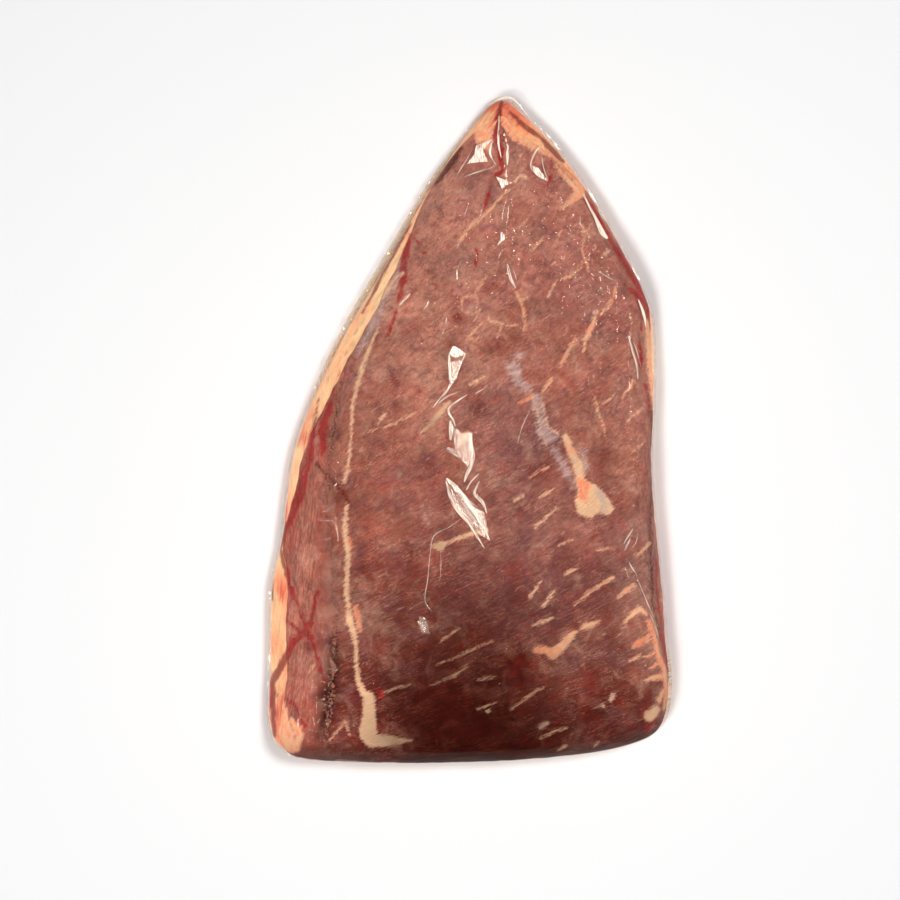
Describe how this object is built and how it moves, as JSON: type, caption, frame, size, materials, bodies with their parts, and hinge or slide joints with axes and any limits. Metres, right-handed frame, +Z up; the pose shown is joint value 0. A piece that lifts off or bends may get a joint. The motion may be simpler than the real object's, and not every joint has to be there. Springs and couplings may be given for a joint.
{
  "type": "raw picanha in vacuum film",
  "caption": "Raw beef rump cap, shrunk in clear film: a rounded wedge of lean lying in its fat cap, wide and thick at one end, pointed and thin at the other.",
  "frame": {"origin": "under the middle of the pack's box, on the surface it lies on", "axes": "+Z up from the surface, +Y along the pack towards the pointed end, +X to the right seen from above with the point away from the viewer"},
  "size_m": [0.1702, 0.2794, 0.0472],
  "materials": {
    "lean": "raw lean beef, brown red, wet under film",
    "fat": "raw beef fat, cream to light orange, wet under film",
    "film": "clear shrunk film, glossy, finely wrinkled"
  },
  "bodies": {
    "root": {"lean_muscle": "lean", "fat_cap": "fat", "film_fin": "film"}
  },
  "joints": []
}
